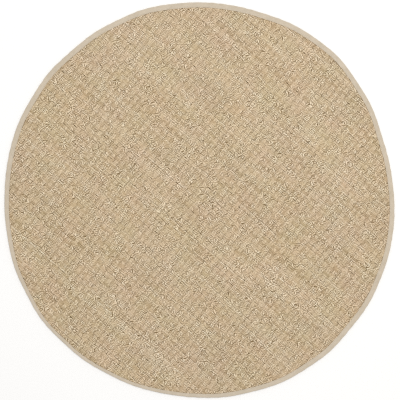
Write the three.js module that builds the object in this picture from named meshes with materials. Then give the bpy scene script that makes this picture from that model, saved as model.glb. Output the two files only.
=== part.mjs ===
import * as THREE from 'three';

// A round rug woven from sea-grass cord, with a cotton tape folded over its rim.
// Millimetres, +Z up. It lies flat on z = 0, its bounding box centred on the Z axis.

const rugDiameter = 1829;          // mean, which is six feet across
const weaveThickness = 9;          // two layers of cord where they cross
const pressedThickness = 6.2;      // the weave where the tape grips it
const swellRun = 3;                // beside the tape the weave swells to its full height over this
const tapeThickness = 1.2;
const tapeFace = 21.1;             // mean width of tape that shows on each face
const tapeTurn = 3.5;              // the tape starts to turn down this far in from the rim
const fitGap = 0.3;                // left between tape and weave
const rimSegments = 144;
const turnSteps = 3;               // straight pieces in a quarter of the tape's turn
const sampleSteps = 720;           // places along the rim that are looked at to centre the rug

const edgeHeight = pressedThickness + 2 * (tapeThickness + fitGap);
const meanRadius = rugDiameter / 2;

// The rim was cut by hand, so it runs a little out and in. Each row is one such wave: how many
// times it goes out on the way round, by how many millimetres, and at which degree it does so first.
const rimWaves = [
  { timesRound: 2, reach: 6.7, outAt: 100.2 },
  { timesRound: 3, reach: 4.3, outAt: 71.3 },
  { timesRound: 4, reach: 4.2, outAt: 45.2 },
  { timesRound: 5, reach: 1.5, outAt: 55.3 },
  { timesRound: 6, reach: 2.8, outAt: 44.7 },
  { timesRound: 7, reach: 1.7, outAt: 47.5 },
  { timesRound: 13, reach: 0.6, outAt: 26.9 },
  { timesRound: 19, reach: 1.0, outAt: 8.3 },
  { timesRound: 23, reach: 0.8, outAt: 13.5 },
];

// The tape was folded over by hand too, so its face is wider in some places than in others.
const tapeWaves = [
  { timesRound: 1, reach: 3.6, outAt: 63.1 },
  { timesRound: 2, reach: 2.3, outAt: 138.7 },
  { timesRound: 3, reach: 1.0, outAt: 61.0 },
];

function waveSum(waves, angle) {
  let sum = 0;
  for (const wave of waves) {
    sum += wave.reach * Math.cos(wave.timesRound * (angle - THREE.MathUtils.degToRad(wave.outAt)));
  }
  return sum;
}

function rimRadius(angle) {
  return meanRadius + waveSum(rimWaves, angle);
}

function tapeWidth(angle) {
  return tapeFace + waveSum(tapeWaves, angle);
}

// A point of a profile is given by its inset from a rim of the mean radius and by its height.
function profilePoint(inset, height) {
  return new THREE.Vector2(meanRadius - inset, height);
}

// Half an ellipse at the rim, from the underside round to the top face.
function turnPoints(rimInset, turnInset, lowest, highest) {
  const points = [];
  const middle = (lowest + highest) / 2;
  for (let step = 0; step <= 2 * turnSteps; step += 1) {
    const angle = (Math.PI / 2) * (step / turnSteps - 1);
    points.push(profilePoint(
      turnInset - (turnInset - rimInset) * Math.cos(angle),
      middle + (highest - middle) * Math.sin(angle),
    ));
  }
  return points;
}

// Moves a turned profile onto the uneven rim. What lies past the turn is stretched to the
// width that the tape has there, and the weave inside the tape keeps its distance from it.
function fitToRim(geometry) {
  const position = geometry.attributes.position;
  for (let index = 0; index < position.count; index += 1) {
    const x = position.getX(index);
    const y = position.getY(index);
    const radius = Math.hypot(x, y);
    if (radius > 1) {
      const angle = Math.atan2(y, x);
      const inset = meanRadius - radius;
      const stretch = (tapeWidth(angle) - tapeTurn) / (tapeFace - tapeTurn);
      const onTape = tapeTurn + (Math.min(inset, tapeFace) - tapeTurn) * stretch;
      const pastTape = Math.max(inset - tapeFace, 0);
      const newInset = inset > tapeTurn ? onTape + pastTape : inset;
      const newRadius = rimRadius(angle) - newInset;
      position.setXY(index, newRadius * Math.cos(angle), newRadius * Math.sin(angle));
    }
  }
  geometry.computeVertexNormals();
  return geometry;
}

// three.js turns a profile about its Y axis, so the result is stood up onto Z.
function turned(points) {
  return fitToRim(new THREE.LatheGeometry(points, rimSegments).rotateX(Math.PI / 2));
}

// The woven cloth: a flat disc, pressed thinner on both faces where the tape lies on it.
function wovenField() {
  const pressedLow = tapeThickness + fitGap;
  const pressedHigh = edgeHeight - pressedLow;
  const rimInset = tapeThickness + fitGap;
  const stepInset = tapeFace + fitGap;
  return turned([
    profilePoint(meanRadius, 0),
    profilePoint(stepInset + swellRun, 0),
    profilePoint(stepInset, pressedLow),
    ...turnPoints(rimInset, tapeTurn, pressedLow, pressedHigh),
    profilePoint(stepInset, pressedHigh),
    profilePoint(stepInset + swellRun, weaveThickness),
    profilePoint(meanRadius, weaveThickness),
  ]);
}

// The tape: one strip folded round the rim, flat on both faces of the rug.
function edgeBinding() {
  const outside = [
    profilePoint(tapeFace, 0),
    ...turnPoints(0, tapeTurn, 0, edgeHeight),
    profilePoint(tapeFace, edgeHeight),
  ];
  const inside = [
    profilePoint(tapeFace, edgeHeight - tapeThickness),
    ...turnPoints(tapeThickness, tapeTurn, tapeThickness, edgeHeight - tapeThickness).reverse(),
    profilePoint(tapeFace, tapeThickness),
  ];
  return turned([...outside, ...inside, outside[0].clone()]);
}

// The offset of the uneven rim's bounding box from its own centre.
function rimCentre() {
  const box = new THREE.Box2();
  for (let step = 0; step < sampleSteps; step += 1) {
    const angle = (2 * Math.PI * step) / sampleSteps;
    const radius = rimRadius(angle);
    box.expandByPoint(new THREE.Vector2(radius * Math.cos(angle), radius * Math.sin(angle)));
  }
  return box.getCenter(new THREE.Vector2());
}

const seaGrass = new THREE.MeshStandardMaterial({ color: 0xc4af90, roughness: 0.82, metalness: 0 });
const cottonTape = new THREE.MeshStandardMaterial({ color: 0xcdc0ab, roughness: 0.9, metalness: 0 });

function namedMesh(name, geometry, material) {
  const mesh = new THREE.Mesh(geometry, material);
  mesh.name = name;
  return mesh;
}

const rug = new THREE.Group();
const centre = rimCentre();
rug.position.set(-centre.x, -centre.y, 0);
rug.add(namedMesh('woven_field', wovenField(), seaGrass));
rug.add(namedMesh('edge_binding', edgeBinding(), cottonTape));
rug.updateMatrixWorld(true);

export default rug;
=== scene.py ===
import math
import bmesh
import bpy
import mathutils
import numpy as np
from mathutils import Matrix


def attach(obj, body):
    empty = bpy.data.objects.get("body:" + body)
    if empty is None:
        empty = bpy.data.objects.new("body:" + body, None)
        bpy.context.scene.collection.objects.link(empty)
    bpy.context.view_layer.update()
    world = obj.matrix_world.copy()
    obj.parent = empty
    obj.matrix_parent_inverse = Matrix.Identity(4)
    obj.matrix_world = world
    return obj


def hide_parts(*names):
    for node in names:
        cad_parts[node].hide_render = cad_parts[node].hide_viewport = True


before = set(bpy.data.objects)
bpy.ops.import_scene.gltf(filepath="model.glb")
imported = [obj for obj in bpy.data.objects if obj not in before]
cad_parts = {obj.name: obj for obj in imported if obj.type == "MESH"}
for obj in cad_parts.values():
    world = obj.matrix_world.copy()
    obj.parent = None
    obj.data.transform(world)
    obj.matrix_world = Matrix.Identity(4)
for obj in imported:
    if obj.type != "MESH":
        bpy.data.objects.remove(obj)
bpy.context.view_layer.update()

# Round rug of sea-grass cord in a basket weave, its rim bound with a cotton tape.
# Metres, +Z up, lying on the floor. The photo looks straight down, with +Y at its top edge.

mm = 0.001


def linearColour(hexCode):
    # sRGB hex to the linear RGBA that the nodes take
    channels = [int(hexCode[i:i + 2], 16) / 255 for i in (0, 2, 4)]
    return [c / 12.92 if c <= 0.04045 else ((c + 0.055) / 1.055) ** 2.4 for c in channels] + [1.0]


def addNode(tree, kind, inputs=None, **settings):
    # settings are the node's own, and an input is a value, a socket, or a node, whose first
    # output in use is then linked
    node = tree.nodes.new(kind)
    for name, value in settings.items():
        setattr(node, name, value)
    for socket, value in (inputs or {}).items():
        if isinstance(value, bpy.types.Node):
            value = next(output for output in value.outputs if output.enabled)
        if isinstance(value, bpy.types.NodeSocket):
            tree.links.new(value, node.inputs[socket])
        else:
            node.inputs[socket].default_value = value
    return node


def newMaterial(name):
    material = bpy.data.materials.new(name)
    material.use_nodes = True
    material.node_tree.nodes.clear()
    return material, material.node_tree


def newPiece(name, mesh, material, node):
    piece = bpy.data.objects.new(name, mesh)
    bpy.context.scene.collection.objects.link(piece)
    mesh.materials.append(material)
    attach(piece, "root")
    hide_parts(node)
    return piece


# Rim: where the rug was cut, and how far the tape reaches in over it.
rim = {
    "meanRadius": 914.5 * mm,
    # times round, reach, degree of the first bulge
    "waves": [
        (2, 6.7 * mm, 100.2), (3, 4.3 * mm, 71.3), (4, 4.2 * mm, 45.2),
        (5, 1.5 * mm, 55.3), (6, 2.8 * mm, 44.7), (7, 1.7 * mm, 47.5),
        (13, 0.6 * mm, 26.9), (19, 1.0 * mm, 8.3), (23, 0.8 * mm, 13.5),
    ],
    "tapeFace": 21.1 * mm,
    "tapeWaves": [(1, 3.6 * mm, 63.1), (2, 2.3 * mm, 138.7), (3, 1.0 * mm, 61.0)],
    "height": 9.2 * mm,
    "samples": 720,               # places along the rim that are looked at to centre the rug
}


def waveSum(waves, angle):
    return sum(reach * np.cos(times * (angle - math.radians(outAt)))
               for times, reach, outAt in waves)


def rimRadius(angle):
    return rim["meanRadius"] + waveSum(rim["waves"], angle)


def tapeWidth(angle):
    return rim["tapeFace"] + waveSum(rim["tapeWaves"], angle)


def rimCentre():
    angle = np.linspace(0, 2 * math.pi, rim["samples"], endpoint=False)
    x, y = rimRadius(angle) * np.cos(angle), rimRadius(angle) * np.sin(angle)
    return np.array([(x.min() + x.max()) / 2, (y.min() + y.max()) / 2, 0])


rugCentre = rimCentre()  # the middle of the cut's box, seen from the cut's own centre


# Woven field: cords in pairs, each pair over one crossing pair and under the next.
weave = {
    "columnPitch": 29.0 * mm,     # from one pair of warp cords to the next
    "rowPitch": 17.4 * mm,        # from one pair of weft cords to the next
    "weftHeading": -41.0,         # degrees from +X
    "warpHeading": 50.6,
    "middle": 4.5 * mm,           # half way up the cloth
    "rise": 1.7 * mm,             # a cord's middle goes this far over and under the cloth's
    "cordThickness": 4.4 * mm,
    "weftWidth": 11.85 * mm,
    "warpWidth": 11.4 * mm,
    "weftApart": 8.7 * mm,        # the two cords of a pair, middle to middle
    "warpApart": 9.3 * mm,
    "weftSpread": 0.125,          # a pair spreads by this share where the crossing cords pass it
    "warpSpread": 0.0,
    "weftGrip": 0.08,             # and its cords are narrower there by this share, wider between
    "warpGrip": 0.0,
    # a cord's squashed section, anticlockwise from one side, in its half width and half thickness
    "section": [(1, 0), (0.72, 0.93), (-0.72, 0.93), (-1, 0), (-0.72, -0.93), (0.72, -0.93)],
    "weftSteps": 4,               # stations along a cord between two crossings
    "warpSteps": 3,
    "fewestStations": 4,          # a shorter cord is left out
    "mostStations": 1000,         # more than any cord has
    "endInset": 7 * mm,           # cords are cut off here, inside the tape's turn
    "pressed": 0.79,              # how much of the thickness is left under the tape
    "swellRun": 4 * mm,           # beside the tape the cloth swells to its full height over this
    "crowding": 0.02,             # the warp stands closer towards its two edges
    "easing": 0.8,                # and wider apart in the middle, by this part of it
    # all lines stray together, over some hundreds of millimetres and over about a hundred:
    # how far, number of waves, gain against their evening out, and radians a metre
    "wander": 3.0 * mm,
    "wanderWaves": 8,
    "wanderGain": 2,
    "wanderTurns": (-14, 14),
    "ripple": 0.8 * mm,
    "rippleWaves": 24,
    "rippleGain": 7,
    "rippleTurns": (35, 80),
    # each cord strays, lifts and widens too: by how much, and over how many stations it changes
    "sway": (0.45 * mm, 2),
    "lift": (0.35 * mm, 1),
    "widthSpread": (0.05, 1),
    "cordSpread": 0.05,           # and one cord is wider than another by up to this share
    # more slow strays: by how much, and over how many crossings they change
    "drift": (0.32 * mm, 6),
    "weftStray": (0.30 * mm, 2),  # the two cords of a pair together
    "warpStray": (1.00 * mm, 2),
    "farthest": 1.5,              # noise is cut off here, in its own spreads, or holes would open
    # how far tone differs, how much of that the whole cord has, and how much of it changes
    # along the cord, over so many crossings
    "weftTone": 0.95,
    "warpTone": 0.40,
    "wholeTone": 0.6,
    "runningTone": (0.8, 7),
    "warpPaler": 1.1,             # the warp is paler in tone than the weft
    "besideTapeDarker": 0.40,              # the cords are this much darker in tone right beside the tape
    "besideTapeRun": 60 * mm,
    # darkening of the seams between cords, part dirt and part painted shade: in a pair, between
    # pairs, and how far they differ
    "weftDirt": (-0.14, -0.05, 1.35),
    "warpDirt": (0.12, 0.08, 0.30),
    "quickDirt": (0.7, 2),        # share of that, and stations over which it changes
    "slowDirt": (0.7, 4),         # share, and crossings
    "patternLength": 90,          # metres of the pattern, and each cord starts anywhere in them
    "weftPieces": 3,
    "warpPieces": 2,
    "seed": 7,
}
dice = np.random.default_rng(weave["seed"])


def heading(degrees):
    return np.array([math.cos(math.radians(degrees)), math.sin(math.radians(degrees))])


weftAlong, warpAlong = heading(weave["weftHeading"]), heading(weave["warpHeading"])
skew = abs(weftAlong[0] * warpAlong[1] - weftAlong[1] * warpAlong[0])
columnStep = weftAlong * weave["columnPitch"] / skew
rowStep = warpAlong * weave["rowPitch"] / skew
slowWaves = dice.uniform(*weave["wanderTurns"], (weave["wanderWaves"], 2))
slowPhases = dice.uniform(0, 2 * math.pi, (weave["wanderWaves"], 2))
quickAngles = dice.uniform(0, 2 * math.pi, weave["rippleWaves"])
quickWaves = (dice.uniform(*weave["rippleTurns"], weave["rippleWaves"])[:, None]
              * np.stack([np.cos(quickAngles), np.sin(quickAngles)], 1))
quickPhases = dice.uniform(0, 2 * math.pi, (weave["rippleWaves"], 2))


def onCloth(column, row):
    # the weave wanders a little off its straight lines
    edgeColumn = rim["meanRadius"] / weave["columnPitch"]
    crowding = weave["crowding"]
    column = column * (1 + weave["easing"] * crowding - crowding * (column / edgeColumn) ** 2)
    place = column[:, None] * columnStep + row[:, None] * rowStep
    slowTurns, quickTurns = place @ slowWaves.T, place @ quickWaves.T
    for axis in (0, 1):
        slow = np.sin(slowTurns + slowPhases[:, axis]).mean(axis=1)
        quick = np.sin(quickTurns + quickPhases[:, axis]).mean(axis=1)
        place[:, axis] += weave["wander"] * slow * weave["wanderGain"]
        place[:, axis] += weave["ripple"] * quick * weave["rippleGain"]
    return place


def smoothNoise(count, reach):
    # random along a cord, with neighbouring stations alike
    kernel = np.hanning(2 * reach + 3)
    noise = np.convolve(dice.normal(size=count + 2 * reach + 2), kernel, "valid")
    spread = math.sqrt((kernel ** 2).sum())
    return np.clip(noise[:count] / spread, -weave["farthest"], weave["farthest"])


def squarer(wave):
    # flattens a wave's tops, as a float lies flat over what it crosses
    return wave * (1.5 - 0.5 * wave ** 2)


def ringStack(points, width, thickness):
    # rings of a flattened cord round its centre line
    ahead = np.gradient(points, axis=0)
    ahead /= np.linalg.norm(ahead, axis=1)[:, None]
    across = np.cross([0, 0, 1], ahead)
    across /= np.linalg.norm(across, axis=1)[:, None]
    up = np.cross(ahead, across)
    outX, outY = np.array(weave["section"]).T
    return (points[:, None, :]
            + across[:, None, :] * (width[:, None] / 2 * outX)[:, :, None]
            + up[:, None, :] * (thickness[:, None] / 2 * outY)[:, :, None])


def makeCord(kind, index, side, stray, seams):
    # one cord of row or column number index, cut where the tape hides its end
    isWeft = kind == "weft"
    steps = weave[kind + "Steps"]
    ownPitch, crossPitch = weave["rowPitch"], weave["columnPitch"]
    if not isWeft:
        ownPitch, crossPitch = crossPitch, ownPitch
    reach = int(rim["meanRadius"] / crossPitch) + 2
    along = np.arange(-reach * steps, reach * steps + 1) / steps
    count = len(along)

    # its line on the cloth
    gripped = np.cos(2 * math.pi * along)
    apart = weave[kind + "Apart"] * (1 + weave[kind + "Spread"] * gripped)
    offset = index + side * apart / 2 / ownPitch
    sway, swayRun = weave["sway"]
    drift, driftRun = weave["drift"]
    shift = smoothNoise(count, swayRun) * sway + smoothNoise(count, driftRun * steps) * drift
    offset = offset + (shift + stray[:count]) / ownPitch
    place = onCloth(along, offset) if isWeft else onCloth(offset, along)
    angle = np.arctan2(place[:, 1], place[:, 0])
    inset = rimRadius(angle) - np.linalg.norm(place, axis=1)
    kept = inset > weave["endInset"]
    if kept.sum() < weave["fewestStations"]:
        return None

    # over and under, with tape and stitches pressing the cloth flat at the rim
    wave = np.cos(math.pi * (along + index))
    wave = wave if isWeft else -squarer(squarer(wave))
    free = np.clip((inset - tapeWidth(angle)) / weave["swellRun"], 0, 1)
    press = weave["pressed"] + (1 - weave["pressed"]) * free * free * (3 - 2 * free)
    lift, liftRun = weave["lift"]
    lift = smoothNoise(count, liftRun) * lift * free
    height = weave["middle"] + (wave * weave["rise"] + lift) * press

    # its section
    spread, spreadRun = weave["widthSpread"]
    spread = spread * smoothNoise(count, spreadRun) + dice.uniform(-1, 1) * weave["cordSpread"]
    width = weave[kind + "Width"] * (1 + spread - weave[kind + "Grip"] * gripped)
    thickness = weave["cordThickness"] * press
    points = np.column_stack([place, height])[kept]
    rings = ringStack(points, width[kept], thickness[kept])
    rings[:, :, 2] = np.clip(rings[:, :, 2], 0, rim["height"])
    walked = np.concatenate([[0], np.cumsum(np.linalg.norm(np.diff(points, axis=0), axis=1))])

    # its tone, and the seams' darkening on each of its two sides, part dirt and part painted shade
    running, toneRun = weave["runningTone"]
    tone = weave[kind + "Tone"] * (weave["wholeTone"] * dice.normal()
                                   + running * smoothNoise(count, toneRun * steps)[kept])
    tone += 0 if isWeft else weave["warpPaler"]
    beside = np.clip(1 - (inset - tapeWidth(angle)) / weave["besideTapeRun"], 0, 1)
    tone -= weave["besideTapeDarker"] * beside[kept]
    seams = seams if isWeft else seams[::-1]
    dirtAndShade = np.stack([seams[1 if out > 0 else 0][:count][kept] for out, up in weave["section"]], 1)
    halfTurn = 0.5 if (side > 0) == isWeft else 0.0  # a pair's two cords show opposite plies
    return {"rings": rings, "walked": walked, "tone": tone, "dirtAndShade": dirtAndShade,
            "start": dice.uniform(0, weave["patternLength"]), "halfTurn": halfTurn}


def arrayMesh(name, points, loopVertices, sizes, maps):
    # a mesh from arrays: points, all faces' corners in a row, each face's number of corners, UVs
    mesh = bpy.data.meshes.new(name)
    mesh.vertices.add(len(points))
    mesh.vertices.foreach_set("co", (points - rugCentre).astype(np.float32).ravel())
    mesh.loops.add(len(loopVertices))
    mesh.loops.foreach_set("vertex_index", loopVertices.astype(np.int32))
    mesh.polygons.add(len(sizes))
    mesh.polygons.foreach_set("loop_start", (np.cumsum(sizes) - sizes).astype(np.int32))
    mesh.update(calc_edges=True)
    for mapName, values in maps.items():
        layer = mesh.uv_layers.new(name=mapName)
        layer.data.foreach_set("uv", values.astype(np.float32).ravel())
    mesh.uv_layers[0].active_render = True
    mesh.shade_smooth()
    return mesh


# A cord's maps. The pattern's has metres along it and turns round it, and the bake's has a band
# for each cord, with its caps at the two ends.
cordMaps = {
    "capGrain": 1 * mm,           # a cap shows the pattern from this far round its cord's end
    "bandStart": 0.004,
    "bandLength": 0.99,
    "bandEdge": 0.06,
    "bandBreadth": 0.88,
    "capSize": 0.0027,
    "capBreadth": 0.4,
    "capStart": 0.001,
    "capsApart": 0.995,
}


def joinCords(name, cords):
    # one mesh of many cords: quads along each, and a cap at both ends
    sides = len(weave["section"])
    longest = max(cord["walked"][-1] for cord in cords)
    corners, patternUv, bakeUv, points, caps = [], [], [], [], []
    base = 0
    for number, cord in enumerate(cords):
        count = len(cord["walked"])
        ring, spoke = np.meshgrid(np.arange(count - 1), np.arange(sides), indexing="ij")
        ring, spoke = ring.ravel(), spoke.ravel()
        ringOf = np.stack([ring, ring, ring + 1, ring + 1], 1)
        spokeOf = np.stack([spoke, spoke + 1, spoke + 1, spoke], 1)
        corners.append(base + ringOf * sides + spokeOf % sides)
        walked = cord["walked"][ringOf]
        patternUv.append(np.stack([walked + cord["start"], spokeOf / sides + cord["halfTurn"]], 2))
        band = number + cordMaps["bandEdge"] + cordMaps["bandBreadth"] * spokeOf / sides
        lengthwise = cordMaps["bandStart"] + cordMaps["bandLength"] * walked / longest
        bakeUv.append(np.stack([lengthwise, band / len(cords)], 2))
        points.append(cord["rings"].reshape(-1, 3))
        caps.append((base, number, 0.0, False))
        caps.append((base + (count - 1) * sides, number, cord["walked"][-1], True))
        base += count * sides
    quads = np.concatenate(corners)
    uvs = [np.concatenate(patternUv).reshape(-1, 2), np.concatenate(bakeUv).reshape(-1, 2)]
    capCorners, capUv, capBake = [], [], []
    for first, number, walked, atEnd in caps:
        cord = cords[number]
        order = np.arange(sides) if atEnd else np.arange(sides)[::-1]
        turn = order * 2 * math.pi / sides
        capCorners.append(first + order)
        capUv.append(np.stack([walked + cord["start"] + cordMaps["capGrain"] * np.cos(turn),
                               order / sides + cord["halfTurn"]], 1))
        begin = cordMaps["capsApart"] * walked / longest + cordMaps["capStart"] if atEnd else 0
        lengthwise = begin + cordMaps["capSize"] * (1 + np.cos(turn)) / 2
        band = number + 0.5 + cordMaps["capBreadth"] * np.sin(turn)
        capBake.append(np.stack([lengthwise, band / len(cords)], 1))
    loopVertices = np.concatenate([quads.ravel(), np.concatenate(capCorners)])
    sizes = np.concatenate([np.full(len(quads), 4), np.full(len(capCorners), sides)])
    maps = {"cordRun": np.concatenate([uvs[0], *capUv]),
            "OFBake": np.concatenate([uvs[1], *capBake])}
    mesh = arrayMesh(name, np.concatenate(points), loopVertices, sizes, maps)
    values = {"cordTone": [np.repeat(cord["tone"], sides) for cord in cords],
              "cordDirt": [cord["dirtAndShade"].ravel() for cord in cords]}
    for attribute, found in values.items():
        layer = mesh.attributes.new(attribute, "FLOAT", "POINT")
        layer.data.foreach_set("value", np.concatenate(found).astype(np.float32))
    return mesh


def seamDirtAndShade(kind, betweenPairs):
    # how dark the seam between two cords is, part dirt and part painted shade, at each station
    # along it
    inPair, between, reach = weave[kind + "Dirt"]
    level = between if betweenPairs else inPair
    quick, quickRun = weave["quickDirt"]
    slow, slowRun = weave["slowDirt"]
    most = weave["mostStations"]
    noise = (quick * smoothNoise(most, quickRun)
             + slow * smoothNoise(most, slowRun * weave[kind + "Steps"]))
    return np.clip(level + reach * noise, 0, 1)


def cordsOf(kind, pitch):
    # neighbouring cords share the seam between them
    reach = int(rim["meanRadius"] / pitch) + 1
    size, run = weave[kind + "Stray"]
    cords = []
    low = seamDirtAndShade(kind, True)
    for index in range(-reach, reach + 1):
        stray = smoothNoise(weave["mostStations"], run * weave[kind + "Steps"]) * size
        for side in (-1, 1):
            high = seamDirtAndShade(kind, side > 0)
            cords.append(makeCord(kind, index, side, stray, (low, high)))
            low = high
    return [cord for cord in cords if cord]


def splitEvenly(cords, pieces):
    # groups of neighbouring cords that hold about the same length
    walked = np.cumsum([cord["walked"][-1] for cord in cords])
    group = np.minimum((walked / walked[-1] * pieces).astype(int), pieces - 1)
    return [[cord for cord, g in zip(cords, group) if g == k] for k in range(pieces)]


# Sea-grass cord: two plies of dried stem, laid up raw. The plies show as slanting ridges whose
# creases are darkened with painted shade, the skin is dry and a little waxy, and every stem has its
# own tone.
cordLook = {
    "brown": "7d633b",
    "tan": "c6ae8b",
    "straw": "e4cfb0",
    "pale": "fff2d8",
    "green": "a9ae80",
    "rose": "daa98c",
    "grey": "c2aca0",
    "gold": "c2b27a",
    # the dark brown of the painted shade, and of the seams' dirt
    "crease": "6b5124",
    "stops": (0.33, 0.62),        # where tan and straw lie between brown and pale
    "plyStep": 8.5 * mm,          # along the cord from one crease to the next
    "plyWidth": 5.5 * mm,
    "plyBump": 0.9 * mm,
    "plyOffset": 57.3,            # puts the second ply elsewhere in the noise
    "uneven": 1.6,                # the twist is tighter here and looser there, in ply steps
    "unevenRun": 45 * mm,
    "stemRun": 7 * mm,            # a stem keeps its tone for about this long
    "fibre": (7.5 * mm, 0.9 * mm),    # long and wide
    "fibreBump": 0.5 * mm,
    "speck": (2.6 * mm, 2.1 * mm),
    "streak": (450 * mm, 35 * mm),    # rows from one batch of stem, along the weft
    "patch": 130 * mm,            # greener here, redder there
    "patchNoise": (0.35, 0.65),   # the part of the noise that is in use
    "busy": 36 * mm,              # the stems are more mixed here, more alike there
    "busyNoise": (0.3, 0.7),
    "busyRange": (0.35, 2.05),
    "weights": {"stem": 0.44, "fibre": 0.58, "speck": 0.80, "streak": 0.2, "patch": 0.13},
    "toneReach": 0.085,           # how much a cord's own tone counts
    "hueShare": 0.12,
    # painted shade in the ply creases
    "creaseDark": 0.75,
    "creaseWidth": 0.65,          # of the ply's crown
    "dirtAndShadeSide": (0.36, 0.60),     # where on the cord's side the seam's dirt and painted shade begin and are full
    "dirtAndShadePaler": 0.15,            # and a cord whose seams are darker is paler on top
    "paintedSideFill": 0.12,            # painted fill: the cord's sides are paler, offsetting the shade of the seams
    "busyPaler": 0.13,            # makes up for the mixed places' dark creases
    "diveDark": 0.30,             # painted shade where a cord goes under a crossing
    "diveDepth": (0.8 * mm, 3.2 * mm),
    "roughness": (0.58, 0.78),
    "roughNoise": (0.3, 0.7),
}


def cordMaterial():
    material, tree = newMaterial("seaGrassCord")
    look = cordLook
    mapped = addNode(tree, "ShaderNodeUVMap", uv_map="cordRun")
    run = addNode(tree, "ShaderNodeSeparateXYZ", {0: mapped})
    along, around = run.outputs["X"], run.outputs["Y"]
    place = addNode(tree, "ShaderNodeTexCoord").outputs["Object"]
    tone = addNode(tree, "ShaderNodeAttribute", attribute_name="cordTone").outputs["Fac"]
    dirtAndShade = addNode(tree, "ShaderNodeAttribute", attribute_name="cordDirt").outputs["Fac"]

    # slanting plies: two go round the cord, and each crease is a ply's step after the last
    twist = addNode(tree, "ShaderNodeTexNoise", {
        "W": along, "Scale": 1 / look["unevenRun"], "Detail": 1.0}, noise_dimensions="1D")
    turns = addNode(tree, "ShaderNodeMath", {
        0: along, 1: 1 / look["plyStep"]}, operation="MULTIPLY")
    turns = addNode(tree, "ShaderNodeMath", {
        0: twist, 1: 2 * look["uneven"], 2: turns}, operation="MULTIPLY_ADD")
    phase = addNode(tree, "ShaderNodeMath", {0: around, 1: 2.0, 2: turns}, operation="MULTIPLY_ADD")
    evenOdd = addNode(tree, "ShaderNodeMath", {0: phase, 1: 2.0}, operation="FLOORED_MODULO")
    whichPly = addNode(tree, "ShaderNodeMath", {0: evenOdd}, operation="FLOOR")
    acrossPly = addNode(tree, "ShaderNodeMath", {0: phase}, operation="FRACT")
    halfTurn = addNode(tree, "ShaderNodeMath", {0: acrossPly, 1: math.pi}, operation="MULTIPLY")
    crown = addNode(tree, "ShaderNodeMath", {0: halfTurn}, operation="SINE")

    # each ply's stems change tone as they run, with fine fibres, dark nodes and pale scuffs
    plyStart = addNode(tree, "ShaderNodeMath", {
        0: whichPly, 1: look["plyOffset"]}, operation="MULTIPLY")
    stemAt = addNode(tree, "ShaderNodeMath", {
        0: along, 1: 1 / look["stemRun"], 2: plyStart}, operation="MULTIPLY_ADD")
    noises = {"stem": addNode(tree, "ShaderNodeTexNoise", {
        "W": stemAt, "Scale": 1.0, "Detail": 2.0, "Roughness": 0.6}, noise_dimensions="1D")}
    for name, detail in (("fibre", 3.0), ("speck", 1.0)):
        length, width = look[name]
        lengthwise = addNode(tree, "ShaderNodeMath", {
            0: along, 1: 1 / length}, operation="MULTIPLY")
        sideways = addNode(tree, "ShaderNodeMath", {
            0: acrossPly, 1: look["plyWidth"] / width, 2: plyStart}, operation="MULTIPLY_ADD")
        noiseAt = addNode(tree, "ShaderNodeCombineXYZ", {0: lengthwise, 1: sideways})
        noises[name] = addNode(tree, "ShaderNodeTexNoise", {
            "Vector": noiseAt, "Scale": 1.0, "Detail": detail, "Roughness": 0.65})
    streakAt = addNode(tree, "ShaderNodeMapping", {
        "Vector": place, "Rotation": (0, 0, math.radians(weave["weftHeading"])),
        "Scale": (*look["streak"], 1)}, vector_type="TEXTURE")
    noises["streak"] = addNode(tree, "ShaderNodeTexNoise", {
        "Vector": streakAt, "Scale": 1.0, "Detail": 3.0, "Roughness": 0.6})

    # places on the cloth differ too, in hue, in tone and in how mixed the stems are
    patch = addNode(tree, "ShaderNodeTexNoise", {
        "Vector": place, "Scale": 1 / look["patch"], "Detail": 4.0, "Roughness": 0.6})
    patches = addNode(tree, "ShaderNodeSeparateColor", {0: patch.outputs["Color"]})
    noises["patch"] = patches.outputs[2]
    mixing = addNode(tree, "ShaderNodeTexNoise", {
        "Vector": place, "Scale": 1 / look["busy"], "Detail": 1.0})
    busy = addNode(tree, "ShaderNodeMapRange", {
        "Value": mixing, "From Min": look["busyNoise"][0], "From Max": look["busyNoise"][1],
        "To Min": look["busyRange"][0], "To Max": look["busyRange"][1]})

    # how far round to its side the cord is seen
    angle = addNode(tree, "ShaderNodeMath", {0: around, 1: 2 * math.pi}, operation="MULTIPLY")
    sideways = addNode(tree, "ShaderNodeMath", {0: angle}, operation="COSINE")
    side = addNode(tree, "ShaderNodeMath", {0: sideways}, operation="ABSOLUTE")
    onSide = addNode(tree, "ShaderNodeMapRange", {
        "Value": side, "From Min": look["dirtAndShadeSide"][0], "From Max": look["dirtAndShadeSide"][1]})

    # together they set how pale the stem is, about a middle tone of a half
    shade = look["busyPaler"] - 0.5 * sum(look["weights"].values())
    for name, weight in look["weights"].items():
        shade = addNode(tree, "ShaderNodeMath", {
            0: noises[name], 1: weight, 2: shade}, operation="MULTIPLY_ADD")
    toned = 0.5 - look["busyPaler"] - 0.5 * look["dirtAndShadePaler"]
    for value, weight in ((tone, "toneReach"), (dirtAndShade, "dirtAndShadePaler"), (onSide, "paintedSideFill")):
        toned = addNode(tree, "ShaderNodeMath", {
            0: value, 1: look[weight], 2: toned}, operation="MULTIPLY_ADD")
    shade = addNode(tree, "ShaderNodeMath", {0: shade, 1: busy, 2: toned}, operation="MULTIPLY_ADD")
    colour = addNode(tree, "ShaderNodeValToRGB", {0: shade})
    stops = colour.color_ramp.elements
    stops[0].color, stops[1].color = linearColour(look["brown"]), linearColour(look["pale"])
    for where, name in zip(look["stops"], ("tan", "straw")):
        stops.new(where).color = linearColour(look[name])
    for channel, (low, high) in enumerate((("green", "rose"), ("grey", "gold"))):
        share = addNode(tree, "ShaderNodeMapRange", {
            "Value": patches.outputs[channel],
            "From Min": look["patchNoise"][0], "From Max": look["patchNoise"][1]})
        hue = addNode(tree, "ShaderNodeMix", {
            0: share, 6: linearColour(look[low]), 7: linearColour(look[high])}, data_type="RGBA")
        colour = addNode(tree, "ShaderNodeMix", {
            0: look["hueShare"], 6: colour, 7: hue}, data_type="RGBA")
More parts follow.
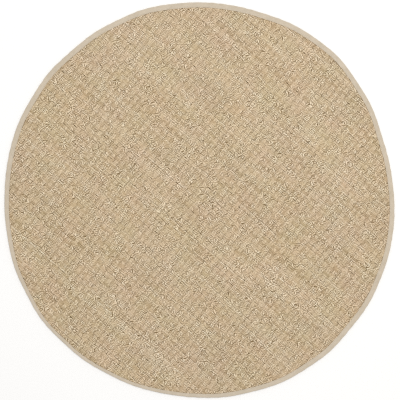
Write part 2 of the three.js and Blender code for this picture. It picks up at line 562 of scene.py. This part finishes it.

    # painted shade darkens the creases and where the cord dives under a crossing, and dirt with
    # painted shade darkens the cord's sides at the seams
    inCrease = addNode(tree, "ShaderNodeMapRange", {
        "Value": crown, "From Min": 0.0, "From Max": look["creaseWidth"],
        "To Min": look["creaseDark"], "To Max": 0.0})
    sideDirtAndShade = addNode(tree, "ShaderNodeMath", {0: onSide, 1: dirtAndShade}, operation="MULTIPLY")
    height = addNode(tree, "ShaderNodeSeparateXYZ", {0: place}).outputs["Z"]
    offMiddle = addNode(tree, "ShaderNodeMath", {
        0: height, 1: weave["middle"]}, operation="SUBTRACT")
    depth = addNode(tree, "ShaderNodeMath", {0: offMiddle}, operation="ABSOLUTE")
    inDive = addNode(tree, "ShaderNodeMapRange", {
        "Value": depth, "From Min": look["diveDepth"][0], "From Max": look["diveDepth"][1],
        "To Min": look["diveDark"], "To Max": 0.0})
    inCrease = addNode(tree, "ShaderNodeMath", {0: inCrease, 1: busy}, operation="MULTIPLY")
    for share in (inCrease, sideDirtAndShade, inDive):
        colour = addNode(tree, "ShaderNodeMix", {
            0: share, 6: colour, 7: linearColour(look["crease"])}, data_type="RGBA")

    rough = addNode(tree, "ShaderNodeMapRange", {
        "Value": noises["fibre"],
        "From Min": look["roughNoise"][0], "From Max": look["roughNoise"][1],
        "To Min": look["roughness"][0], "To Max": look["roughness"][1]})
    ridges = addNode(tree, "ShaderNodeBump", {
        "Height": crown, "Strength": 0.9, "Distance": look["plyBump"]})
    grain = addNode(tree, "ShaderNodeBump", {
        "Height": noises["fibre"], "Strength": 0.5, "Distance": look["fibreBump"],
        "Normal": ridges})
    shader = addNode(tree, "ShaderNodeBsdfPrincipled", {
        "Base Color": colour, "Roughness": rough, "Normal": grain, "Specular IOR Level": 0.35})
    addNode(tree, "ShaderNodeOutputMaterial", {0: shader})
    return material


cordFinish = cordMaterial()
weftCords = cordsOf("weft", weave["rowPitch"])
warpCords = cordsOf("warp", weave["columnPitch"])
weftGroups = splitEvenly(weftCords, weave["weftPieces"])
for number, cords in enumerate(weftGroups, 1):
    mesh = joinCords(f"weftCords{number}", cords)
    newPiece(f"weftCords{number}", mesh, cordFinish, "woven_field")
for number, cords in enumerate(splitEvenly(warpCords, weave["warpPieces"]), 1):
    mesh = joinCords(f"warpCords{number}", cords)
    newPiece(f"warpCords{number}", mesh, cordFinish, "woven_field")


# Binding tape: one strip folded round the rim and sewn down on both faces.
tape = {
    "thickness": 1.2 * mm,
    "turn": 3.5 * mm,             # how far in from the rim its fold begins
    "stitchInset": 3.2 * mm,      # from the inner edge to the line of stitches
    # points of the face beside its inner edge, the line of stitches and the fold: millimetres
    # further in, and millimetres over the rug's height
    "nearEdge": [(0.1, -0.75), (-0.5, -0.15)],
    "nearStitches": [(1.4, 0), (0, -0.7), (-1.5, -0.1), (-4.5, 0.05)],
    "nearFold": [(4.5, 0), (1.5, -0.1)],
    "foldDegrees": (75, -1, -15),     # the fold's points down to the rim's edge: first, end, step
    "foldFlat": 0.2 * mm,         # its half height is this much less than the rug's
    "insideDip": 0.1 * mm,        # of the strip's inside at the stitches
    "insideFold": (1.0 * mm, 0.9 * mm),   # where its inside turns: in from the fold, and the wall
    "around": 840,                # steps round the rim
    # small puckers: sideways at the rim, sideways at the inner edge, and up on the face
    "puckers": (0.6 * mm, 0.45 * mm, 0.18 * mm),
    "puckerWaves": 26,
    "puckerTimes": (30, 170),     # round the rim
    "puckerWeights": (0.4, 1),
    "puckerGain": 0.6,
    "rimPuckers": 3,              # they reach in over this many folds
    "edgePuckers": 6 * mm,        # and out from the inner edge
    "seed": 11,
    # the map for the bake has the strip in so many bands, with margins that keep them apart
    "bands": 16,
    "bandStart": 0.003,
    "bandLength": 0.99,
    "bandEdge": 0.04,
    "bandBreadth": 0.92,
    "girthSpare": 1.05,
    "lastEdge": 0.001,
}


def tapeSection():
    # the closed section: the outside from the inner edge of the top face round to that of the
    # underside, and back along the inside; each point is an inset from the rim and a height
    face, top, thick, turn = rim["tapeFace"], rim["height"], tape["thickness"], tape["turn"]
    middle, sewn = top / 2, face - tape["stitchInset"]
    outer = [(line + inward * mm, top + rise * mm)
             for line, near in ((face, "nearEdge"), (sewn, "nearStitches"), (turn, "nearFold"))
             for inward, rise in tape[near]]
    outer += [(turn * (1 - math.cos(a)), middle + (middle - tape["foldFlat"]) * math.sin(a))
              for a in np.radians(np.arange(*tape["foldDegrees"]))]
    outer += [(inset, top - height) for inset, height in reversed(outer[:-1])]
    besideFold, inFold = tape["insideFold"]
    inner = [
        (face, top - thick), (sewn, top - thick - tape["insideDip"]),
        (turn + besideFold, top - thick),
        (thick + inFold, middle + 0.5 * (middle - thick)), (thick, middle),
    ]
    inner += [(inset, top - height) for inset, height in reversed(inner[:-1])]
    return outer + inner[::-1]


def bindingMesh():
    section = tapeSection()
    bm = bmesh.new()
    across = bm.verts.layers.float.new("across")
    walked = 0
    ring = []
    for number, (inset, height) in enumerate(section):
        vertex = bm.verts.new((rim["meanRadius"] - inset, 0, height))
        if number:
            walked += math.dist(section[number - 1], section[number])
        vertex[across] = walked
        ring.append(vertex)
    edges = [bm.edges.new((ring[i], ring[(i + 1) % len(ring)])) for i in range(len(ring))]
    bmesh.ops.spin(bm, geom=ring + edges, cent=(0, 0, 0), axis=(0, 0, 1), dvec=(0, 0, 0),
                   angle=2 * math.pi, steps=tape["around"], use_merge=True, use_duplicate=False)
    bmesh.ops.recalc_face_normals(bm, faces=bm.faces)
    mesh = bpy.data.meshes.new("bindingTape")
    bm.to_mesh(mesh)
    bm.free()
    return mesh, walked


def onRim(points):
    # moves turned points onto the uneven rim, with the tape's small puckers
    angle = np.arctan2(points[:, 1], points[:, 0])
    inset = rim["meanRadius"] - np.linalg.norm(points[:, :2], axis=1)
    turn, face = tape["turn"], rim["tapeFace"]
    stretch = (tapeWidth(angle) - turn) / (face - turn)
    moved = np.where(inset > turn, turn + (inset - turn) * stretch, inset)
    outerPucker, innerPucker, facePucker = puckers(angle)
    edge = np.clip(1 - inset / (tape["rimPuckers"] * turn), 0, 1)
    innerEdge = np.clip((inset - face + tape["edgePuckers"]) / tape["edgePuckers"], 0, 1)
    radius = rimRadius(angle) - moved + outerPucker * edge + innerPucker * innerEdge
    middle = rim["height"] / 2
    onTop = np.clip((points[:, 2] - middle) / middle, 0, 1)
    height = points[:, 2] + facePucker * onTop * np.clip(inset / turn, 0, 1)
    return np.column_stack([radius * np.cos(angle), radius * np.sin(angle),
                            np.clip(height, 0, None)])


def fitTape(mesh):
    points = np.empty(len(mesh.vertices) * 3, np.float32)
    mesh.vertices.foreach_get("co", points)
    fitted = onRim(points.reshape(-1, 3).astype(float)) - rugCentre
    mesh.vertices.foreach_set("co", fitted.astype(np.float32).ravel())
    mesh.update()


tapeDice = np.random.default_rng(tape["seed"])
puckerTable = [(tapeDice.integers(*tape["puckerTimes"], tape["puckerWaves"]),
                tapeDice.uniform(0, 2 * math.pi, tape["puckerWaves"]),
                tapeDice.uniform(*tape["puckerWeights"], tape["puckerWaves"]))
               for _ in tape["puckers"]]


def puckers(angle):
    found = []
    for (times, phase, weight), size in zip(puckerTable, tape["puckers"]):
        waves = (np.sin(np.outer(angle, times) + phase) * weight).sum(axis=1)
        found.append(size * waves / math.sqrt(0.5 * (weight ** 2).sum()) * tape["puckerGain"])
    return found


def tapeMaps(mesh, girth):
    # one map in metres for the pattern, and one that fills the bake with a few long bands
    loops = np.empty(len(mesh.loops), np.int32)
    mesh.loops.foreach_get("vertex_index", loops)
    points = np.empty(len(mesh.vertices) * 3, np.float32)
    mesh.vertices.foreach_get("co", points)
    points = points.reshape(-1, 3) + rugCentre
    across = np.empty(len(mesh.vertices), np.float32)
    mesh.attributes["across"].data.foreach_get("value", across)
    angle = np.arctan2(points[loops, 1], points[loops, 0]).reshape(-1, 4) % (2 * math.pi)
    farOn = angle.max(axis=1, keepdims=True) - angle > math.pi
    angle = np.where(farOn, angle + 2 * math.pi, angle)
    over = across[loops].reshape(-1, 4)
    over = np.where(over.max(axis=1, keepdims=True) - over > girth / 2, over + girth, over)
    pattern = np.stack([angle * rim["meanRadius"], over], 2)
    turnPart = angle / (2 * math.pi) * tape["bands"]
    band = np.floor(turnPart.mean(axis=1, keepdims=True))
    lengthwise = tape["bandStart"] + tape["bandLength"] * (turnPart - band)
    breadth = tape["bandBreadth"] * over / (girth * tape["girthSpare"])
    sideways = (band + tape["bandEdge"] + breadth) / (tape["bands"] + tape["lastEdge"])
    for name, values in (("tapeRun", pattern), ("OFBake", np.stack([lengthwise, sideways], 2))):
        layer = mesh.uv_layers.new(name=name)
        layer.data.foreach_set("uv", values.reshape(-1).astype(np.float32))
    mesh.uv_layers["tapeRun"].active_render = True


# Cotton canvas tape, plain woven and unbleached: matt, a little hairy, with slubs and light
# soiling. Its threads are 0.6 mm apart, finer than the render shows, and are drawn at 1.6 mm.
tapeLook = {
    "cotton": "d0c2ae",
    "shade": "b8ab96",
    "thread": 1.6 * mm,
    "slub": (14 * mm, 2.4 * mm),  # long and wide
    "soil": 45 * mm,
    "soilWeight": 0.5,
    "canvasWeight": 0.10,
    "shadeRange": (0.45, 1.05),
    "bump": 0.35 * mm,
    "roughness": 0.88,
}


def tapeMaterial():
    material, tree = newMaterial("cottonCanvasTape")
    look = tapeLook
    run = addNode(tree, "ShaderNodeUVMap", uv_map="tapeRun")
    place = addNode(tree, "ShaderNodeTexCoord").outputs["Object"]
    counted = addNode(tree, "ShaderNodeVectorMath", {
        0: run, "Scale": math.pi / look["thread"]}, operation="SCALE")
    waves = addNode(tree, "ShaderNodeVectorMath", {0: counted}, operation="SINE")
    parts = addNode(tree, "ShaderNodeSeparateXYZ", {0: waves})
    canvas = addNode(tree, "ShaderNodeMath", {
        0: parts.outputs["X"], 1: parts.outputs["Y"]}, operation="MULTIPLY")
    slubAt = addNode(tree, "ShaderNodeMapping", {
        "Vector": run, "Scale": (*look["slub"], 1)}, vector_type="TEXTURE")
    slubs = addNode(tree, "ShaderNodeTexNoise", {
        "Vector": slubAt, "Scale": 1.0, "Detail": 3.0, "Roughness": 0.6})
    soil = addNode(tree, "ShaderNodeTexNoise", {
        "Vector": place, "Scale": 1 / look["soil"], "Detail": 3.0})
    relief = addNode(tree, "ShaderNodeMath", {
        0: canvas, 1: look["canvasWeight"], 2: slubs}, operation="MULTIPLY_ADD")
    soiled = addNode(tree, "ShaderNodeMath", {
        0: soil, 1: look["soilWeight"], 2: relief}, operation="MULTIPLY_ADD")
    clean = addNode(tree, "ShaderNodeMapRange", {
        "Value": soiled, "From Min": look["shadeRange"][0], "From Max": look["shadeRange"][1]})
    colour = addNode(tree, "ShaderNodeMix", {
        0: clean, 6: linearColour(look["shade"]), 7: linearColour(look["cotton"])},
        data_type="RGBA")
    bump = addNode(tree, "ShaderNodeBump", {
        "Height": relief, "Strength": 0.6, "Distance": look["bump"]})
    shader = addNode(tree, "ShaderNodeBsdfPrincipled", {
        "Base Color": colour, "Roughness": look["roughness"], "Normal": bump,
        "Specular IOR Level": 0.25, "Sheen Weight": 0.15, "Sheen Roughness": 0.6})
    addNode(tree, "ShaderNodeOutputMaterial", {0: shader})
    return material


tapeFinish = tapeMaterial()
tapeMesh, girth = bindingMesh()
fitTape(tapeMesh)
tapeMaps(tapeMesh, girth)
tapeMesh.shade_smooth()
tapePiece = newPiece("bindingTape", tapeMesh, tapeFinish, "edge_binding")
print("bound the rim,", len(tapeMesh.polygons), "faces")


# Stitches: a row of lockstitch through tape and weave, seen on both faces.
stitch = {
    "count": 958,                 # on each face
    "length": 4.4 * mm,           # that shows between two holes
    "thread": 1.25 * mm,
    "belly": (1.15, 1.15, 1.4),   # the thread is fuller between its ends
    "sink": 0.50 * mm,            # the thread's middle lies this far below the face
    "uneven": 0.125 * mm,         # the row isn't quite straight
    "slant": 0.06,
    "cells": (48, 40),            # of the map for the bake, one for each stitch
    "cellEdge": 0.06,
    "cellPart": 0.88,
}


def stitchTemplate():
    bm = bmesh.new()
    uvLayer = bm.loops.layers.uv.new("run")
    bmesh.ops.create_uvsphere(bm, u_segments=6, v_segments=3, radius=1, calc_uvs=True)
    belly = [v for v in bm.verts if abs(v.co.z) < 0.9]  # all but the two ends
    bmesh.ops.scale(bm, vec=stitch["belly"], verts=belly)
    size = (stitch["thread"] / 2, stitch["thread"] / 2, stitch["length"] / 2)
    bmesh.ops.scale(bm, vec=size, verts=bm.verts)
    lieDown = mathutils.Matrix.Rotation(math.pi / 2, 3, "X")
    bmesh.ops.rotate(bm, matrix=lieDown, verts=bm.verts)
    points = np.array([v.co for v in bm.verts])
    corners = [[loop.vert.index for loop in face.loops] for face in bm.faces]
    uv = np.array([loop[uvLayer].uv for face in bm.faces for loop in face.loops])
    bm.free()
    return points, np.concatenate(corners), np.array([len(c) for c in corners]), uv


def stitchMesh():
    points, corners, sizes, uv = stitchTemplate()
    count = 2 * stitch["count"]
    number = np.arange(count)
    angle = 2 * math.pi * (number % stitch["count"] + 0.5) / stitch["count"]
    onTop = number < stitch["count"]
    sink = stitch["sink"]
    height = np.where(onTop, rim["height"] - sink, sink)
    row = rim["meanRadius"] - rim["tapeFace"] + tape["stitchInset"]
    outward = row + tapeDice.normal(0, stitch["uneven"], count)
    slant = tapeDice.normal(0, stitch["slant"], count)
    radial = outward[:, None] + points[:, 0] + slant[:, None] * points[:, 1]
    around = points[:, 1]
    cosine, sine = np.cos(angle)[:, None], np.sin(angle)[:, None]
    placed = np.stack([radial * cosine - around * sine, radial * sine + around * cosine,
                       height[:, None] + points[:, 2]], 2)
    loopVertices = (number[:, None] * len(points) + corners).ravel()
    columns, rows = stitch["cells"]
    cell = np.stack([number % columns, number // columns], 1)
    inCell = stitch["cellPart"] * np.clip(uv, 0, 1)[None]
    bake = (cell[:, None, :] + stitch["cellEdge"] + inCell) / (columns, rows)
    run = uv[None] + number[:, None, None]
    maps = {"threadRun": run.reshape(-1, 2), "OFBake": bake.reshape(-1, 2)}
    fitted = onRim(placed.reshape(-1, 3))
    return arrayMesh("bindingStitches", fitted, loopVertices, np.tile(sizes, count), maps)


# Cotton sewing thread, mercerised: smoother than the tape and a little glossy. Its ply is finer
# than the render shows and is drawn with four turns to a stitch.
threadLook = {
    "light": "dccfba",
    "dark": "a8997f",
    "turns": 4.0,
    "wear": 17 * mm,
    "wearWeight": 0.8,
    "paleRange": (0.2, 1.0),
    "bump": 0.1 * mm,
    "roughness": 0.55,
}


def threadMaterial():
    material, tree = newMaterial("mercerisedThread")
    look = threadLook
    mapped = addNode(tree, "ShaderNodeUVMap", uv_map="threadRun")
    run = addNode(tree, "ShaderNodeSeparateXYZ", {0: mapped})
    place = addNode(tree, "ShaderNodeTexCoord").outputs["Object"]
    turned = addNode(tree, "ShaderNodeMath", {
        0: run.outputs["Y"], 1: look["turns"], 2: run.outputs["X"]}, operation="MULTIPLY_ADD")
    ply = addNode(tree, "ShaderNodeMath", {0: turned, 1: 1.0}, operation="PINGPONG")
    wear = addNode(tree, "ShaderNodeTexNoise", {
        "Vector": place, "Scale": 1 / look["wear"], "Detail": 2.0})
    mixed = addNode(tree, "ShaderNodeMath", {
        0: wear, 1: look["wearWeight"], 2: ply}, operation="MULTIPLY_ADD")
    pale = addNode(tree, "ShaderNodeMapRange", {
        "Value": mixed, "From Min": look["paleRange"][0], "From Max": look["paleRange"][1]})
    colour = addNode(tree, "ShaderNodeMix", {
        0: pale, 6: linearColour(look["dark"]), 7: linearColour(look["light"])}, data_type="RGBA")
    bump = addNode(tree, "ShaderNodeBump", {
        "Height": ply, "Strength": 0.5, "Distance": look["bump"]})
    shader = addNode(tree, "ShaderNodeBsdfPrincipled", {
        "Base Color": colour, "Roughness": look["roughness"], "Normal": bump,
        "Specular IOR Level": 0.4})
    addNode(tree, "ShaderNodeOutputMaterial", {0: shader})
    return material


stitchPiece = newPiece("bindingStitches", stitchMesh(), threadMaterial(),
                       "edge_binding")
print("sewed the tape,", 2 * stitch["count"], "stitches")


# Floor, light and camera.
studio = {
    "floor": "f8f7f5",
    "floorRoughness": 0.9,
    "floorRadius": 30,
    "photoWidth": 1.8548,         # metres of floor across the photo's 400 pixels
    "lensHeight": 6.5,
    "sensor": 36,                 # millimetres, as Blender takes it
    "aside": 2.3 * mm,            # the rug lies half a pixel left of the photo's middle
    "dome": 0.82,
    "keyPower": 76,
    "keyPlace": (0.9, 1.3, 4.5),
    "keySize": 2.0,
    "crispness": 1.2,             # pixel filter's width, for edges as crisp as the photo's
}


def makeFloor():
    material, tree = newMaterial("paintedFloor")
    shader = addNode(tree, "ShaderNodeBsdfPrincipled", {
        "Base Color": linearColour(studio["floor"]), "Roughness": studio["floorRoughness"]})
    addNode(tree, "ShaderNodeOutputMaterial", {0: shader})
    bm = bmesh.new()
    bmesh.ops.create_circle(bm, cap_ends=True, segments=64, radius=studio["floorRadius"])
    mesh = bpy.data.meshes.new("floor")
    bm.to_mesh(mesh)
    bm.free()
    mesh.materials.append(material)
    floor = bpy.data.objects.new("floor", mesh)
    bpy.context.scene.collection.objects.link(floor)


def makeLight():
    world = bpy.data.worlds.new("studioDome")
    world.use_nodes = True
    background = world.node_tree.nodes["Background"]
    background.inputs["Color"].default_value = (1, 1, 1, 1)
    background.inputs["Strength"].default_value = studio["dome"]
    bpy.context.scene.world = world
    lamp = bpy.data.lights.new("softBox", "AREA")
    lamp.energy = studio["keyPower"]
    lamp.size = studio["keySize"]
    key = bpy.data.objects.new("softBox", lamp)
    key.location = studio["keyPlace"]
    key.visible_camera = False
    key.rotation_mode = "QUATERNION"
    key.rotation_quaternion = key.location.to_track_quat("Z", "Y")
    bpy.context.scene.collection.objects.link(key)


def makeCamera():
    lens = bpy.data.cameras.new("camera")
    lens.sensor_width = studio["sensor"]
    lens.lens = lens.sensor_width * studio["lensHeight"] / studio["photoWidth"]
    camera = bpy.data.objects.new("camera", lens)
    camera.location = (studio["aside"], 0, studio["lensHeight"] + rim["height"])
    bpy.context.scene.collection.objects.link(camera)
    bpy.context.scene.camera = camera


makeFloor()
makeLight()
makeCamera()
bpy.context.scene.view_settings.view_transform = "Standard"
bpy.context.scene.cycles.use_denoising = False  # it takes the cords' fine grain for noise
bpy.context.scene.cycles.filter_width = studio["crispness"]
print("set the studio")
